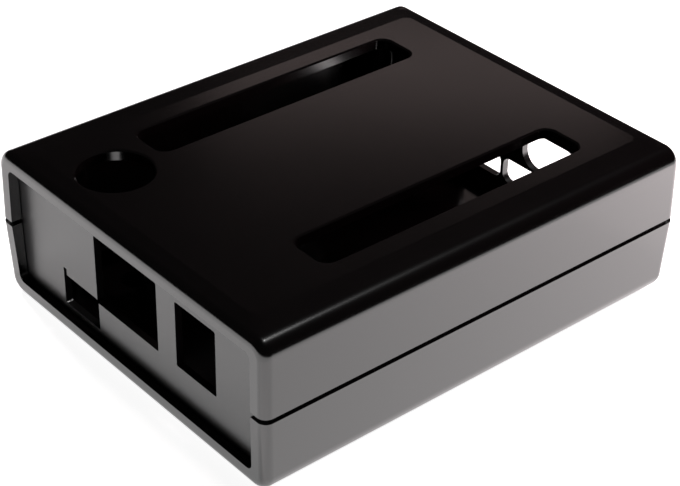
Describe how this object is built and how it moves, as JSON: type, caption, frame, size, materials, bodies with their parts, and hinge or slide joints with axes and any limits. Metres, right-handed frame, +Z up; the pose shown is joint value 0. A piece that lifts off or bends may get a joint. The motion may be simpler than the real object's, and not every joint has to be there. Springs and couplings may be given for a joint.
{
  "type": "computer board housing",
  "caption": "Black moulded plastic housing in two screwed shells with header slots in the top and a cut-out panel held at each end.",
  "frame": {"origin": "middle of the underside of the base, on the surface that the housing rests on", "axes": "+X along the housing, from the connector end to the USB end; +Y across it, to the long side with the round access hole; +Z up, through the top with the header slots"},
  "size_m": [0.1024, 0.0828, 0.0326],
  "materials": {
    "black_shell": "satin moulded texture",
    "black_panel": "satin",
    "screw_steel": "zinc plated"
  },
  "bodies": {
    "root": {"cover": "black_shell", "base": "black_shell", "connector_end_panel": "black_panel", "usb_end_panel": "black_panel", "front_left_screw": "screw_steel", "front_right_screw": "screw_steel", "back_left_screw": "screw_steel", "back_right_screw": "screw_steel"}
  },
  "joints": []
}
